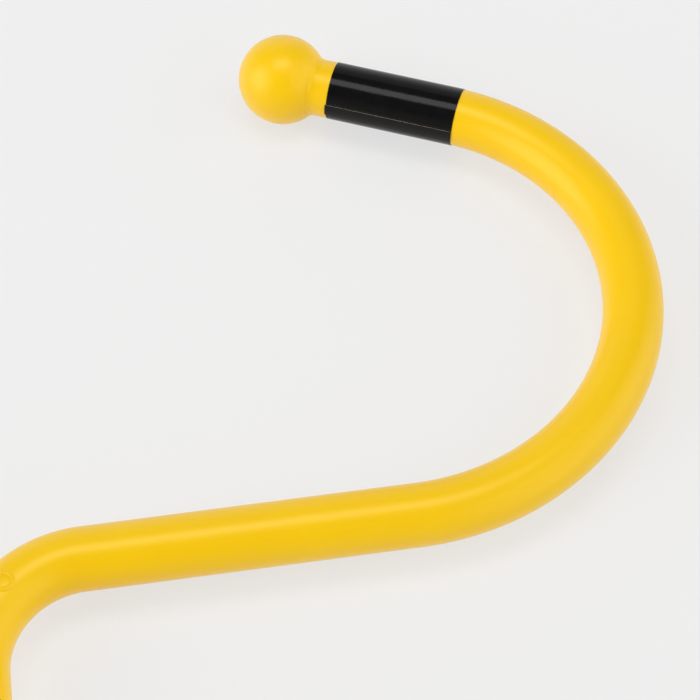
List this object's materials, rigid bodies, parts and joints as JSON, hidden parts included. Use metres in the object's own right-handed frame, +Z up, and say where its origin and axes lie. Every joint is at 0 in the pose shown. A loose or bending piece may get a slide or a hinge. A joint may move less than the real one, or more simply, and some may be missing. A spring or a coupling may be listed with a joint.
{
  "type": "hooked self-massage cane",
  "caption": "Mirrored S-shaped round tube cane with a large and a small hook, ball tips, and a twist collar that locks its two pull-apart halves.",
  "frame": {"origin": "on the shaft's axis where the two halves meet, in the tube's centre plane", "axes": "+Z up out of the plane of the lying cane, +Y along the shaft towards the large hook, +X towards the large hook's arm"},
  "size_m": [0.4315, 0.6382, 0.0348],
  "materials": {
    "yellow_plastic": "satin",
    "plug_plastic": "satin",
    "label_film": "gloss",
    "black_plastic": "matt",
    "grip_rubber": "matt",
    "spigot_metal": "satin",
    "steel": "polished",
    "soft_rubber": "matt"
  },
  "bodies": {
    "upper_half": {"upper_hook": "yellow_plastic", "upper_port_plug": "plug_plastic", "label_band": "label_film", "retaining_ring": "steel"},
    "collar": {"locking_collar": "black_plastic", "collar_grip": "grip_rubber"},
    "lower_half": {"lower_hook": "yellow_plastic", "lower_port_plug": "plug_plastic", "spigot_tube": "spigot_metal", "alignment_key": "steel", "spigot_pins": "steel", "spigot_end_plug": "black_plastic", "anti_rattle_ring": "soft_rubber", "joint_washer": "soft_rubber"}
  },
  "joints": [
    {"name": "collar_turn", "type": "hinge", "parent": "upper_half", "child": "collar", "pos_m": [0, 0.011, 0], "axis": [0, 1, 0], "range_deg": [0, 90]},
    {"name": "shaft_pull", "type": "slide", "parent": "upper_half", "child": "lower_half", "axis": [0, -1, 0], "range_m": [0, 0.074]}
  ]
}
